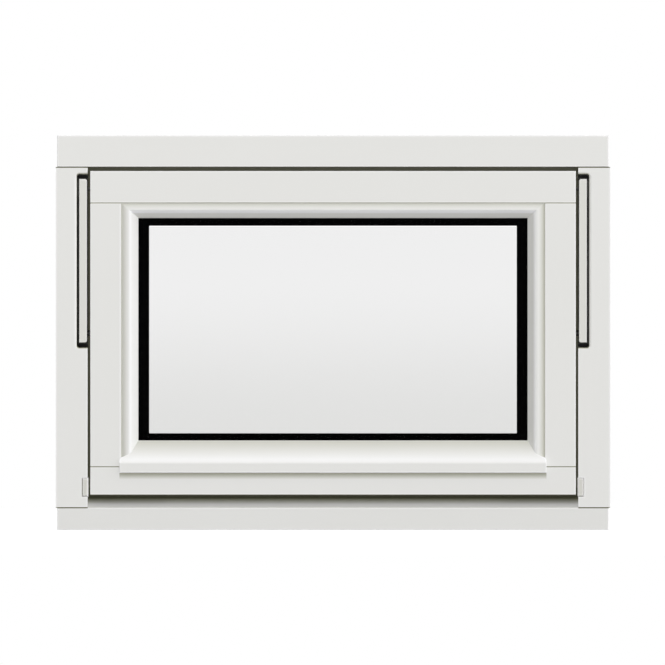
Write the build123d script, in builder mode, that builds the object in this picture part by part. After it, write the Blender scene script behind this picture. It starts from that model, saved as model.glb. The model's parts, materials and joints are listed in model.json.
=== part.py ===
"""Reversible pivot window in painted timber, closed.

Millimetres. X runs across the window, the outside faces -Y, +Z is up. The origin is the middle of
the sill's underside.
"""

import os
from math import cos, radians, sin

from build123d import *

os.makedirs("parts", exist_ok=True)

# Fixed frame
frame_width = 790.0
frame_height = 562.0
frame_depth = 115.0
jamb_thickness = 45.4
head_thickness = 45.0
end_inset = 2.0
stop_height = 14.0
frame_rounding = 1.0
lining_groove_width = 12.0
lining_groove_depth = 9.0
lining_groove_edge = 8.0

# Sill
sill_front_height = 31.6
sill_slope_rise = 15.0
sill_slope_run = 50.0
sill_face_lean = 3.0
drip_groove_width = 5.0
drip_groove_depth = 4.0
drip_groove_setback = 9.0

# Sash
sash_thickness = 56.0
sash_side_gap = 3.6
sash_top_gap = 5.6
sash_bottom_gap = 18.0
stile_face = 43.8
top_rail_face = 45.3
bottom_rail_face = 40.4
sash_rounding = 1.2
joint_rounding = 0.7
seal_gap = 4.5
upstand_overlap = 12.0

# Glazing
pane_thickness = 4.0
cavity = 16.0
glass_setback = 15.5
shoulder = 10.0
pane_clearance = 4.0
spacer_side_reach = 15.2
spacer_top_reach = 10.9
spacer_bottom_reach = 10.2

# Moulded beads
side_bead_width = 24.8
top_bead_height = 21.7
bead_crest_share = 0.44
bead_crest_setback = 0.3
bead_slope = 50.0
bead_quirk_depth = 2.8
bead_quirk_width = 1.0
bead_edge = 2.0

# Bottom bead
bottom_bead_rise = 37.3
bottom_bead_nose = 13.6
bottom_bead_drop = 8.5
bottom_bead_projection = 9.0
bottom_bead_overhang = 2.0
bottom_bead_rounding = 1.0
bottom_bead_end_rise = 4.1
bottom_bead_stile_rise = 7.9
bottom_bead_crest_rise = 12.3
nose_drip_width = 3.0
nose_drip_depth = 2.5

# Hinge
arm_width = 11.1
arm_depth = 20.0
arm_head_gap = 17.0
arm_front_setback = 3.0
arm_gap = 1.1
arm_rounding = 1.0
arm_corner = 3.0
pivot_inset = 13.6
pivot_radius = 4.0
pin_clearance = 0.05
recess_width = 14.6
recess_depth = 46.0
recess_above = 5.8
recess_below = 6.2
recess_corner = 3.0
recess_end_rounding = 4.5
track_plate = 1.8
track_wall = 1.6
track_channel = 14.0
track_setback = 27.0
track_end_gap = 4.0
track_lug_height = 24.0
roller_radius = 6.0
roller_length = 8.0
roller_drop = 14.0
roller_stub_radius = 2.5
roller_chamfer = 1.0
bracket_thickness = 3.0
bracket_width = 36.0
bracket_front_setback = 7.0
bracket_corner = 4.0
pin_into_stile = 16.0

# Guide block
block_bottom = 47.6
block_height = 26.4
block_width = 9.0
block_depth = 28.0
block_proud = 1.0
block_rounding = 2.0
block_sink = 0.8
block_fit = 0.2

# Frame screws
screw_hole_radius = 4.0
screw_spacing = 320.0
screw_setback = 28.0

# Weather seal
seal_width = 6.0
seal_bulb = 2.0

# Handle and lock
handle_plate_length = 72.0
handle_plate_height = 28.0
handle_plate_thickness = 9.0
handle_plate_corner = 7.0
handle_plate_chamfer = 1.5
handle_centre_above_sash = 44.0
handle_neck_radius = 8.0
handle_neck_length = 26.0
handle_lever_length = 118.0
handle_lever_height = 19.0
handle_lever_depth = 12.0
handle_lever_chamfer = 2.5
lock_strip_length = 480.0
lock_strip_width = 16.0
lock_strip_thickness = 2.5
lock_slot_length = 26.0
lock_slot_width = 8.0
lock_slot_spacing = 360.0

# Planes and edges that the pieces share
frame_half = frame_width / 2
front = -frame_depth / 2
back = frame_depth / 2
jamb_inner = frame_half - jamb_thickness
stop_inner = jamb_inner - stop_height
head_underside = frame_height - head_thickness
head_half = frame_half - end_inset
sash_half = jamb_inner - sash_side_gap
sash_top = head_underside - sash_top_gap
sash_bottom = sill_front_height + sash_bottom_gap
sash_back = front + sash_thickness
stop_face = sash_back + seal_gap
stile_inner = sash_half - stile_face
top_joint = sash_top - top_rail_face
bottom_joint = sash_bottom + bottom_rail_face
upstand_top = sash_bottom + upstand_overlap

# Glazing planes and edges
glass_front = front + glass_setback
unit_thickness = 2 * pane_thickness + cavity
glass_back = glass_front + unit_thickness
bead_inner = stile_inner - side_bead_width
bead_underside = top_joint - top_bead_height
bottom_bead_top = bottom_joint + bottom_bead_rise
pane_half = stile_inner - shoulder - pane_clearance
pane_top = top_joint - shoulder - pane_clearance
sill_shoulder = bottom_bead_top - (side_bead_width - shoulder)
pane_bottom = sill_shoulder + pane_clearance
cavity_front = glass_front + pane_thickness
spacer_inner = bead_inner - spacer_side_reach
spacer_underside = bead_underside - spacer_top_reach
spacer_top_edge = bottom_bead_top + spacer_bottom_reach

# Bottom bead's nose and the side beads' crest
bead_crest = stile_inner - bead_crest_share * side_bead_width
nose_front = front - bottom_bead_projection
nose_bottom = bottom_joint - bottom_bead_drop
nose_top = nose_bottom + bottom_bead_nose
nose_half = stile_inner + bottom_bead_overhang

# Middle lines of the weather seals
seal_side = (stop_inner + sash_half) / 2
seal_top = (head_underside - stop_height + sash_top) / 2
seal_bottom = (sash_bottom + upstand_top) / 2
seal_outer = seal_side + seal_width / 2

# Hinge places
arm_inner = jamb_inner + arm_gap
arm_outer = arm_inner + arm_width
sash_pivot_height = (sash_bottom + sash_top) / 2
arm_bottom = sash_pivot_height - pivot_inset
arm_top = head_underside - arm_head_gap
arm_front = front + arm_front_setback
arm_middle = arm_front + arm_depth / 2
recess_outer = jamb_inner + recess_width
recess_top = arm_top + recess_above
recess_bottom = arm_bottom - recess_below
frame_pivot_height = arm_top - pivot_inset
track_front = front + track_setback
track_back = track_front + track_channel + 2 * track_wall
roller_depth = track_front + track_wall + track_channel / 2
roller_height = arm_top - roller_drop
block_outer = jamb_inner - block_proud + block_width
bracket_front = front + bracket_front_setback
bracket_bottom = recess_bottom + track_end_gap
bracket_top = recess_top - track_end_gap
screw_depth = back - screw_setback

# Handle and lock places
handle_height = sash_bottom + handle_centre_above_sash
handle_front = sash_back + handle_plate_thickness
lever_front = handle_front + handle_neck_length - handle_lever_depth
lock_middle = (front + sash_back) / 2


def save(piece, name):
    """Label a finished piece and write it under its name."""
    piece.label = name
    export_step(piece, f"parts/{name}.step")


def save_pair(piece, name):
    """Write a right-hand piece and its mirror image across the window."""
    save(piece, name + "_right")
    with BuildPart() as left_hand:
        mirror(piece, about=Plane.YZ)
    save(left_hand.part, name + "_left")


def front_edges(piece):
    """Edges of the plane face that looks outside."""
    return piece.faces().filter_by(Axis.Y).sort_by(Axis.Y)[0].edges()


def head_section():
    """Head seen from its end, with the deeper stop behind the sash."""
    with BuildSketch() as section:
        with BuildLine():
            Polyline(
                (front, head_underside),
                (front, frame_height),
                (back, frame_height),
                (back, head_underside - stop_height),
                (stop_face, head_underside - stop_height),
                (stop_face, head_underside),
                close=True,
            )
        make_face()
    return section.sketch


def sill_section():
    """Sill seen from its end: leaning front, sloping top and the upstand behind the sash."""
    slope_top = sill_front_height + sill_slope_rise
    with BuildSketch() as section:
        with BuildLine():
            Polyline(
                (front + sill_face_lean, 0),
                (front, sill_front_height),
                (front + sill_slope_run, slope_top),
                (stop_face, slope_top),
                (stop_face, upstand_top),
                (back, upstand_top),
                (back, 0),
                close=True,
            )
        make_face()
    return section.sketch


def bead_section(width):
    """Moulded bead: X runs from the stile or rail towards the glass, Y stands out of the glass.

    The back rises from the quirk to the crest, and a round nose runs out into the straight slope.
    """
    quirk_level = glass_setback - bead_quirk_depth
    quirk = (bead_quirk_width, quirk_level)
    crest = (bead_crest_share * width, glass_setback - bead_crest_setback)
    lip = (width, bead_edge)
    slope = radians(bead_slope)
    run = lip[0] - crest[0]
    fall = crest[1] - lip[1]
    nose_radius = (run * sin(slope) - fall * cos(slope)) / (1 - cos(slope))
    with BuildSketch() as section:
        with BuildLine():
            Polyline((width, 0), (0, 0), (0, quirk_level), quirk)
            TangentArc(crest, quirk, tangent=(-1, 0))
            nose = JernArc(crest, tangent=(1, 0), radius=nose_radius, arc_size=-bead_slope)
            Polyline(nose @ 1, lip, (width, 0))
        make_face()
    return section.sketch


def bead_run(start, width_direction, direction):
    """Plane of a bead's section: X runs towards the glass and the bead is drawn along direction."""
    return Plane(origin=start, x_dir=width_direction, z_dir=direction)


# Head, with its ends short of the jambs' outer faces and a groove for the room's lining
with BuildPart() as frame_head:
    with BuildSketch(Plane.YZ):
        add(head_section())
        with Locations((back, head_underside - stop_height + lining_groove_edge)):
            Rectangle(
                2 * lining_groove_depth,
                lining_groove_width,
                align=(Align.CENTER, Align.MIN),
                mode=Mode.SUBTRACT,
            )
    extrude(amount=head_half, both=True)
    fillet(front_edges(frame_head), radius=frame_rounding)
save(frame_head.part, "frame_head")

# Sill, with a drip groove under its front edge
with BuildPart() as frame_sill:
    with BuildSketch(Plane.YZ):
        add(sill_section())
        with Locations((front + sill_face_lean + drip_groove_setback, 0)):
            Rectangle(drip_groove_width, 2 * drip_groove_depth, mode=Mode.SUBTRACT)
        with Locations((back, upstand_top - lining_groove_edge)):
            Rectangle(
                2 * lining_groove_depth,
                lining_groove_width,
                align=(Align.CENTER, Align.MAX),
                mode=Mode.SUBTRACT,
            )
    extrude(amount=head_half, both=True)
    sill_front = frame_sill.faces().sort_by(Axis.Y)[0]
    fillet(sill_front.edges(), radius=frame_rounding)
save(frame_sill.part, "frame_sill")

# Jamb, cut to the head and the sill, with the hinge recess and the notch of the guide block
with BuildPart() as frame_jamb:
    with BuildSketch(Plane.XY):
        with BuildLine():
            Polyline(
                (jamb_inner, front),
                (frame_half, front),
                (frame_half, back),
                (stop_inner, back),
                (stop_inner, stop_face),
                (jamb_inner, stop_face),
                close=True,
            )
        make_face()
        with Locations((stop_inner + lining_groove_edge, back)):
            Rectangle(
                lining_groove_width,
                2 * lining_groove_depth,
                align=(Align.MIN, Align.CENTER),
                mode=Mode.SUBTRACT,
            )
    extrude(amount=head_underside)
    with BuildSketch(Plane.YZ):
        add(head_section())
        add(sill_section())
        with Locations((front, 0)):
            Rectangle(sill_face_lean, sill_front_height, align=Align.MIN)
    extrude(amount=frame_width, mode=Mode.SUBTRACT)
    with BuildSketch(Plane.XZ.offset(-front)):
        with Locations((recess_outer, recess_bottom)):
            Rectangle(
                2 * recess_width,
                recess_top - recess_bottom,
                align=(Align.MAX, Align.MIN),
            )
        fillet(vertices().group_by(Axis.X)[-1], radius=recess_corner)
    extrude(amount=-recess_depth, mode=Mode.SUBTRACT)
    with BuildSketch(Plane.XZ.offset(-front)):
        with Locations((block_outer + block_fit, block_bottom - block_fit)):
            Rectangle(
                2 * block_width,
                block_height + 2 * block_fit,
                align=(Align.MAX, Align.MIN),
            )
    extrude(amount=-block_depth, mode=Mode.SUBTRACT)
    with BuildSketch(Plane.YZ.offset(stop_inner)):
        with Locations((screw_depth, frame_height / 2)):
            with GridLocations(0, screw_spacing, 1, 2):
                Circle(screw_hole_radius)
    extrude(amount=jamb_thickness + stop_height, mode=Mode.SUBTRACT)
    recess_ends = front_edges(frame_jamb).filter_by(Axis.X).sort_by(Axis.Z)[-3:-1]
    fillet(recess_ends, radius=recess_end_rounding)
save_pair(frame_jamb.part, "frame_jamb")

# Weather seals between the back of the sash and the frame's stops
with BuildPart() as frame_seal:
    with BuildSketch(Plane.XY.offset(seal_bottom + seal_width / 2)):
        with Locations((seal_side, sash_back)):
            Rectangle(seal_width, seal_gap, align=(Align.CENTER, Align.MIN))
        fillet(vertices().group_by(Axis.Y)[0], radius=seal_bulb)
    extrude(amount=seal_top - seal_bottom - seal_width)
save_pair(frame_seal.part, "frame_seal")

for place, height in (("top", seal_top), ("bottom", seal_bottom)):
    with BuildPart() as cross_seal:
        with BuildSketch(Plane.YZ):
            with Locations((sash_back, height)):
                Rectangle(seal_gap, seal_width, align=(Align.MIN, Align.CENTER))
            fillet(vertices().group_by(Axis.X)[0], radius=seal_bulb)
        extrude(amount=seal_outer, both=True)
    save(cross_seal.part, f"frame_seal_{place}")

# Guide block that centres the sash as it closes
with BuildPart() as guide_block:
    with BuildSketch(Plane.XZ.offset(-front - block_sink)):
        with Locations((block_outer, block_bottom)):
            Rectangle(block_width, block_height, align=(Align.MAX, Align.MIN))
    extrude(amount=block_sink - block_depth)
    fillet(front_edges(guide_block), radius=block_rounding)
save_pair(guide_block.part, "guide_block")

# Hinge track: a channel for the roller behind the arm, with a lug in front for the arm's pivot
with BuildPart() as hinge_track:
    with BuildSketch(Plane.XY.offset(recess_bottom + track_end_gap)):
        with Locations((recess_outer, track_front)):
            Rectangle(track_plate, track_back - track_front, align=(Align.MAX, Align.MIN))
        for flange_front in (track_front, track_back - track_wall):
            with Locations((jamb_inner, flange_front)):
                Rectangle(recess_width, track_wall, align=Align.MIN)
    extrude(amount=recess_top - recess_bottom - 2 * track_end_gap)
    with BuildSketch(Plane.YZ.offset(recess_outer - track_plate)):
        with Locations((track_front, frame_pivot_height)):
            Rectangle(track_front - bracket_front, track_lug_height, align=(Align.MAX, Align.CENTER))
        with Locations((arm_middle, frame_pivot_height)):
            Circle(pivot_radius + pin_clearance, mode=Mode.SUBTRACT)
    extrude(amount=track_plate)
save_pair(hinge_track.part, "hinge_track")

# Hinge arm from the pivot on the frame down to the pivot on the sash
with BuildPart() as hinge_arm:
    with BuildSketch(Plane.YZ.offset(arm_inner)):
        with Locations((arm_front, arm_bottom)):
            Rectangle(arm_depth, arm_top - arm_bottom, align=Align.MIN)
        with Locations((arm_middle, sash_pivot_height), (arm_middle, frame_pivot_height)):
            Circle(pivot_radius + pin_clearance, mode=Mode.SUBTRACT)
    extrude(amount=arm_width)
    end_edges = hinge_arm.edges().filter_by(Axis.Y)
    fillet(end_edges.group_by(Axis.X)[0], radius=arm_corner)
    fillet(front_edges(hinge_arm), radius=arm_rounding)
save_pair(hinge_arm.part, "hinge_arm")

with BuildPart() as frame_pivot_pin:
    with BuildSketch(Plane.YZ.offset(arm_inner)):
        with Locations((arm_middle, frame_pivot_height)):
            Circle(pivot_radius)
    extrude(amount=recess_outer - arm_inner)
save_pair(frame_pivot_pin.part, "frame_pivot_pin")

with BuildPart() as sash_pivot_pin:
    with BuildSketch(Plane.YZ.offset(sash_half - pin_into_stile)):
        with Locations((arm_middle, sash_pivot_height)):
            Circle(pivot_radius)
    extrude(amount=arm_outer - sash_half + pin_into_stile)
save_pair(sash_pivot_pin.part, "sash_pivot_pin")

# Bracket let into the edge of the sash, from the pivot up to the roller
with BuildPart() as bracket_blank:
    with BuildSketch(Plane.YZ.offset(sash_half - bracket_thickness)):
        with Locations((bracket_front, bracket_bottom)):
            Rectangle(bracket_width, bracket_top - bracket_bottom, align=Align.MIN)
        chamfer(vertices(), length=bracket_corner)
    extrude(amount=bracket_thickness)

with BuildPart() as sash_bracket:
    add(bracket_blank.part)
    with BuildSketch(Plane.YZ.offset(sash_half - bracket_thickness)):
        with Locations((arm_middle, sash_pivot_height)):
            Circle(pivot_radius + pin_clearance)
        with Locations((roller_depth, roller_height)):
            Circle(roller_stub_radius + pin_clearance)
    extrude(amount=bracket_thickness, mode=Mode.SUBTRACT)
save_pair(sash_bracket.part, "sash_bracket")

# Roller on its stub, standing in the channel of the track
with BuildPart() as slide_roller:
    with BuildSketch(Plane.YZ.offset(sash_half - bracket_thickness)):
        with Locations((roller_depth, roller_height)):
            Circle(roller_stub_radius)
    extrude(amount=arm_inner - sash_half + bracket_thickness)
    with BuildSketch(Plane.YZ.offset(arm_inner)):
        with Locations((roller_depth, roller_height)):
            Circle(roller_radius)
    extrude(amount=roller_length)
    chamfer(slide_roller.faces().sort_by(Axis.X)[-1].edges(), length=roller_chamfer)
save_pair(slide_roller.part, "slide_roller")

# Stile: full face, then the shoulder behind the bead and the lip behind the glass
with BuildPart() as sash_stile:
    with BuildSketch(Plane.XY.offset(bottom_joint)):
        with BuildLine():
            Polyline(
                (stile_inner, front),
                (sash_half, front),
                (sash_half, sash_back),
                (bead_inner, sash_back),
                (bead_inner, glass_back),
                (stile_inner - shoulder, glass_back),
                (stile_inner - shoulder, glass_front),
                (stile_inner, glass_front),
                close=True,
            )
        make_face()
    extrude(amount=top_joint - bottom_joint)
    fillet(front_edges(sash_stile).sort_by(Axis.X)[-1], radius=sash_rounding)
    fillet(front_edges(sash_stile).sort_by(Axis.X)[0:3], radius=joint_rounding)
    add(bracket_blank.part, mode=Mode.SUBTRACT)
    with BuildSketch(Plane.YZ.offset(sash_half - pin_into_stile)):
        with Locations((arm_middle, sash_pivot_height)):
            Circle(pivot_radius + pin_clearance)
    extrude(amount=pin_into_stile, mode=Mode.SUBTRACT)
save_pair(sash_stile.part, "sash_stile")

# Top rail
with BuildPart() as sash_top_rail:
    with BuildSketch(Plane.YZ):
        with Locations((front, top_joint)):
            Rectangle(sash_thickness, top_rail_face, align=Align.MIN)
    extrude(amount=sash_half, both=True)
    with BuildSketch(Plane.YZ):
        with Locations((glass_front, top_joint)):
            Rectangle(unit_thickness, shoulder, align=(Align.MIN, Align.MAX))
    extrude(amount=stile_inner - shoulder, both=True)
    with BuildSketch(Plane.YZ):
        with Locations((glass_back, top_joint)):
            Rectangle(sash_back - glass_back, top_bead_height, align=(Align.MIN, Align.MAX))
    extrude(amount=bead_inner, both=True)
    fillet(front_edges(sash_top_rail).sort_by(Axis.Z)[1:], radius=sash_rounding)
    fillet(front_edges(sash_top_rail).sort_by(Axis.Z)[0], radius=joint_rounding)
    add(bracket_blank.part, mode=Mode.SUBTRACT)
    add(mirror(bracket_blank.part, about=Plane.YZ, mode=Mode.PRIVATE), mode=Mode.SUBTRACT)
save(sash_top_rail.part, "sash_top_rail")

# Bottom rail, with the groove of the lock strip
with BuildPart() as sash_bottom_rail:
    with BuildSketch(Plane.YZ):
        with Locations((front, bottom_joint)):
            Rectangle(sash_thickness, bottom_rail_face, align=(Align.MIN, Align.MAX))
    extrude(amount=sash_half, both=True)
    with BuildSketch(Plane.YZ):
        with Locations((glass_front, bottom_joint)):
            Rectangle(unit_thickness, sill_shoulder - bottom_joint, align=Align.MIN)
    extrude(amount=stile_inner - shoulder, both=True)
    with BuildSketch(Plane.YZ):
        with Locations((glass_back, bottom_joint)):
            Rectangle(sash_back - glass_back, bottom_bead_rise, align=Align.MIN)
    extrude(amount=bead_inner, both=True)
    fillet(front_edges(sash_bottom_rail).sort_by(Axis.Z)[:-1], radius=sash_rounding)
    fillet(front_edges(sash_bottom_rail).sort_by(Axis.Z)[-1], radius=joint_rounding)
    with BuildSketch(Plane.XY.offset(sash_bottom)):
        with Locations((0, lock_middle)):
            Rectangle(lock_strip_length, lock_strip_width)
    extrude(amount=lock_strip_thickness, mode=Mode.SUBTRACT)
save(sash_bottom_rail.part, "sash_bottom_rail")

# Bottom bead: a sloping weathering with a nose that overlaps the rail and the stiles
with BuildPart() as bead_bottom:
    with BuildSketch(Plane.YZ):
        with BuildLine():
            Polyline(
                (front, nose_bottom),
                (nose_front, nose_bottom),
                (nose_front, nose_top),
                (glass_front - bead_edge, bottom_bead_top),
                (glass_front, bottom_bead_top),
                (glass_front, bottom_joint),
                (front, bottom_joint),
                close=True,
            )
        make_face()
    extrude(amount=nose_half, both=True)
    with BuildSketch(Plane.XZ.offset(-front)):
        for side in (1, -1):
            with Locations((side * (stile_inner + bottom_bead_overhang / 2), bottom_joint)):
                Rectangle(bottom_bead_overhang, bottom_bead_rise, align=(Align.CENTER, Align.MIN))
    extrude(amount=-glass_setback, mode=Mode.SUBTRACT)
    with BuildSketch(Plane.XZ.offset(-nose_front)):
        for side in (1, -1):
            with BuildLine():
                Polyline(
                    (side * nose_half, bottom_bead_top),
                    (side * nose_half, nose_top + bottom_bead_end_rise),
                    (side * stile_inner, nose_top + bottom_bead_stile_rise),
                    (side * bead_crest, nose_top + bottom_bead_crest_rise),
                    (side * bead_crest, bottom_bead_top),
                    close=True,
                )
            make_face()
    extrude(amount=nose_front - front - glass_setback, mode=Mode.SUBTRACT)
    with BuildSketch(Plane.YZ):
        with Locations(((nose_front + front) / 2, nose_bottom)):
            Rectangle(nose_drip_width, 2 * nose_drip_depth)
    extrude(amount=nose_half, both=True, mode=Mode.SUBTRACT)
    fillet(front_edges(bead_bottom), radius=bottom_bead_rounding)
save(bead_bottom.part, "bead_bottom")

# Top and side beads, mitred where they meet and scribed onto the bottom bead
mitre = Plane(origin=(stile_inner, 0, top_joint), z_dir=(top_bead_height, 0, -side_bead_width))
left_mitre = Plane(origin=(-stile_inner, 0, top_joint), z_dir=(-top_bead_height, 0, -side_bead_width))
with BuildPart() as side_bead:
    with BuildSketch(bead_run((stile_inner, glass_front, bottom_joint), (-1, 0, 0), (0, 0, 1))):
        add(bead_section(side_bead_width))
    extrude(amount=top_joint - bottom_joint)
    split(bisect_by=mitre, keep=Keep.TOP)
    add(bead_bottom.part, mode=Mode.SUBTRACT)
save_pair(side_bead.part, "bead")

with BuildPart() as bead_top:
    with BuildSketch(bead_run((0, glass_front, top_joint), (0, 0, -1), (-1, 0, 0))):
        add(bead_section(top_bead_height))
    extrude(amount=stile_inner)
    split(bisect_by=left_mitre, keep=Keep.BOTTOM)
    mirror(about=Plane.YZ)
save(bead_top.part, "bead_top")

# Sealed unit: two panes with a dark spacer and edge seal between them
for place, pane_front in (("outer", glass_front), ("inner", glass_back - pane_thickness)):
    with BuildPart() as pane:
        with BuildSketch(Plane.XZ.offset(-pane_front)):
            with Locations((0, pane_bottom)):
                Rectangle(2 * pane_half, pane_top - pane_bottom, align=(Align.CENTER, Align.MIN))
        extrude(amount=-pane_thickness)
    save(pane.part, f"glass_{place}_pane")

with BuildPart() as spacer_side:
    with BuildSketch(Plane.XY.offset(pane_bottom)):
        with Locations((spacer_inner, cavity_front)):
            Rectangle(pane_half - spacer_inner, cavity, align=Align.MIN)
    extrude(amount=pane_top - pane_bottom)
save_pair(spacer_side.part, "spacer")

for place, low, high in (
    ("top", spacer_underside, pane_top),
    ("bottom", pane_bottom, spacer_top_edge),
):
    with BuildPart() as cross_spacer:
        with BuildSketch(Plane.YZ):
            with Locations((cavity_front, low)):
                Rectangle(cavity, high - low, align=Align.MIN)
        extrude(amount=spacer_inner, both=True)
    save(cross_spacer.part, f"spacer_{place}")

# Handle on the room side of the bottom rail
with BuildPart() as handle_plate:
    with BuildSketch(Plane.XZ.offset(-sash_back)):
        with Locations((0, handle_height)):
            RectangleRounded(handle_plate_length, handle_plate_height, handle_plate_corner)
    extrude(amount=-handle_plate_thickness)
    chamfer(handle_plate.faces().sort_by(Axis.Y)[-1].edges(), length=handle_plate_chamfer)
save(handle_plate.part, "handle_plate")

with BuildPart() as handle_lever:
    with BuildSketch(Plane.XZ.offset(-handle_front)):
        with Locations((0, handle_height)):
            Circle(handle_neck_radius)
    extrude(amount=-handle_neck_length)
    with BuildSketch(Plane.XZ.offset(-lever_front)):
        with Locations(((handle_lever_length - handle_lever_height) / 2, handle_height)):
            SlotOverall(handle_lever_length, handle_lever_height)
    extrude(amount=-handle_lever_depth)
    chamfer(handle_lever.faces().sort_by(Axis.Y)[-1].edges(), length=handle_lever_chamfer)
save(handle_lever.part, "handle_lever")

# Lock strip in the lower edge of the sash, with the two slots that its bolts slide in
with BuildPart() as lock_strip:
    with BuildSketch(Plane.XY.offset(sash_bottom)):
        with Locations((0, lock_middle)):
            Rectangle(lock_strip_length, lock_strip_width)
            with GridLocations(lock_slot_spacing, 0, 2, 1):
                SlotOverall(lock_slot_length, lock_slot_width, mode=Mode.SUBTRACT)
    extrude(amount=lock_strip_thickness)
save(lock_strip.part, "lock_strip")
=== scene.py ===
"""Looks of a closed timber pivot window: paint, glass, seals, metal, small fasteners and the stage."""

import json
import math

import bmesh
import bpy
from bpy.props import FloatProperty, FloatVectorProperty, PointerProperty
from mathutils import Matrix, Vector


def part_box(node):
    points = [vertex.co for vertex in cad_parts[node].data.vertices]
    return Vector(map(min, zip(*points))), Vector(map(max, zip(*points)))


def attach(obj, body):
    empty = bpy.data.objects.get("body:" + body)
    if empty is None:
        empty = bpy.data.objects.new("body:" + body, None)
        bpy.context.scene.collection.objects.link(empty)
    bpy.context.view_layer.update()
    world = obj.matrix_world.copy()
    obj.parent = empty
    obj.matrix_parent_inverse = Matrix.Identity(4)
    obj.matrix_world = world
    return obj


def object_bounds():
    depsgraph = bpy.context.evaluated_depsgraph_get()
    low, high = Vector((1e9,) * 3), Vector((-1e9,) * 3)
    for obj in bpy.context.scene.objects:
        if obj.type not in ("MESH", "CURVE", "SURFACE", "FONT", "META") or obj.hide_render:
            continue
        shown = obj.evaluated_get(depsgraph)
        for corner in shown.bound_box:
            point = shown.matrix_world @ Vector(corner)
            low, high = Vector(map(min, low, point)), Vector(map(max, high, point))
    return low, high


bl_info = {
    "name": "Pivot Window Finish",
    "version": (1, 0, 0),
    "blender": (4, 5, 0),
    "location": "3D View > Sidebar > Window",
    "description": "Finishes a closed timber pivot window and sets it on a plain stage",
    "category": "Object",
}

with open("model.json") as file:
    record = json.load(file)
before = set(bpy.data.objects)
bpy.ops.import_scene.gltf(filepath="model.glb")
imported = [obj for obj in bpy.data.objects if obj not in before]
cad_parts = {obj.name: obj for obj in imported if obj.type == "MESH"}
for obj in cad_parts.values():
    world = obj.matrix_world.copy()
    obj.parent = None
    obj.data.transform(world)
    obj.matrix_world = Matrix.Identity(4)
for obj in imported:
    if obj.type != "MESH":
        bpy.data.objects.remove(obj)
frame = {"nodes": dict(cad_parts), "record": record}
nodes = frame["nodes"]
cad_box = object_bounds()

MM = 0.001
SIDES = ("left", "right")

# Farther than the window reaches on any side.
FAR = 1.0

# Fine marks are drawn out along a board or a track, and are even on everything else.
ALONG_X = (0.03, 1, 1)
ALONG_Z = (1, 1, 0.03)
EVEN = (1, 1, 1)

# Cells to the metre in the orange peel of a dry coat, and in the slow change of its tone.
PEEL_SCALE = 420.0
CLOUD_SCALE = 9.0

# Share of the peel in the relief, beside the marks.
PEEL_SHARE = 0.4

# Painted shade, like every darkening of the skin, is warm: blue falls with this power of the lightness.
SHADE_WARMTH = 1.25

# The painted highlight on an arris is full where a point is only this open inwards.
ARRIS_LIGHT_SOLID = 0.8

# Rays that test how open a point is.
OPENNESS_RAYS = 12

# Bands of painted shade and painted highlight across a moulded glazing bead: quirk and lip from its outer
# edge, nose from its ridge.
QUIRK_FOOT = 2 * MM
QUIRK_MOUTH = 9 * MM
LIP_START = 18 * MM
LIP_END = 23 * MM
NOSE_CREST = 0.5 * MM
NOSE_EDGE = 3 * MM

# Where the light comes from: above, in front and from the right.
KEY_DIRECTION = Vector((0.66, -0.44, 0.61)).normalized()
HIGHLIGHT_DIRECTION = Vector((0.53, -0.66, 0.53))

# Width of the camera's picture plane in millimetres.
SENSOR_WIDTH = 36.0


def colour_setting(name, description, default):
    """A colour that a user would change."""
    return FloatVectorProperty(
        name=name, description=description, subtype="COLOR", size=3, min=0, max=1, default=default
    )


def length_setting(name, description, default):
    """A length that a user would change, in metres."""
    return FloatProperty(name=name, description=description, unit="LENGTH", default=default)


def share_setting(name, description, default):
    """A share from 0 to 1."""
    return FloatProperty(
        name=name, description=description, subtype="FACTOR", min=0, max=1, default=default
    )


def level_setting(name, description, default):
    """A strength of light, or another plain number."""
    return FloatProperty(name=name, description=description, default=default)


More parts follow.
